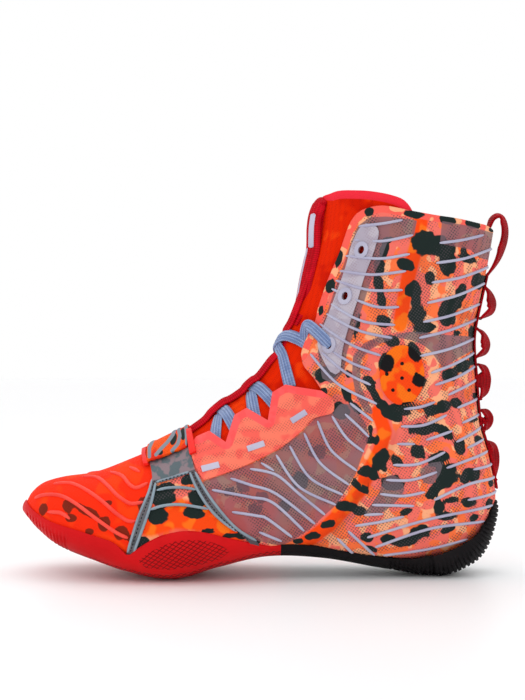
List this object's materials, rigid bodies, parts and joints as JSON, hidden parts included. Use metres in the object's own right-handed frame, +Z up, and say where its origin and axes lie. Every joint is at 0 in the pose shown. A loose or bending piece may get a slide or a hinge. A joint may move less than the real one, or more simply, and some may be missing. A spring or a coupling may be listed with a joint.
{
  "type": "boxing shoe",
  "caption": "High-top left boxing shoe with a soft patterned upper, open throat, zigzag lace stays, forefoot strap saddle, heel tape loops, and separate toe and heel rubber soles.",
  "frame": {"origin": "middle of the heel's flat tread, on the floor", "axes": "+X to the toe, +Y to the outer side of the left foot, +Z up"},
  "size_m": [0.3005, 0.1, 0.2378],
  "materials": {
    "upper": "printed mesh under a thin clear film, matte to satin",
    "red_rubber": "satin moulded rubber",
    "black_rubber": "matte moulded rubber",
    "insole": "brushed textile",
    "tongue": "fine knit over foam",
    "strap_pad": "padded roll with raised ribs",
    "tape": "woven webbing",
    "label": "pale film",
    "eyestay": "thin film with a bright rim",
    "film": "smoky translucent film over mesh",
    "disc": "thin moulded disc",
    "eyelet": "pale printed ring",
    "lace": "flat woven lace"
  },
  "bodies": {
    "root": {"upper": "upper", "outsole_forefoot": "red_rubber", "outsole_heel": "black_rubber", "insole": "insole", "tongue": "tongue", "strap_pad": "strap_pad", "heel_tape": "tape", "tongue_band": "tape", "tongue_tab": "tape", "tongue_label": "label", "eyestay_outer": "eyestay", "eyestay_inner": "eyestay", "saddle_outer": "film", "saddle_inner": "film", "facing_outer": "film", "facing_inner": "film", "ankle_disc_outer": "disc", "ankle_disc_inner": "disc", "front_tab_outer": "tape", "front_tab_inner": "tape", "rear_tab_outer": "tape", "rear_tab_inner": "tape", "eyelet_outer_1": "eyelet", "eyelet_outer_2": "eyelet", "eyelet_outer_3": "eyelet", "eyelet_inner_1": "eyelet", "eyelet_inner_2": "eyelet", "eyelet_inner_3": "eyelet", "lace_cross_1": "lace", "lace_cross_2": "lace", "lace_cross_3": "lace"}
  },
  "joints": []
}
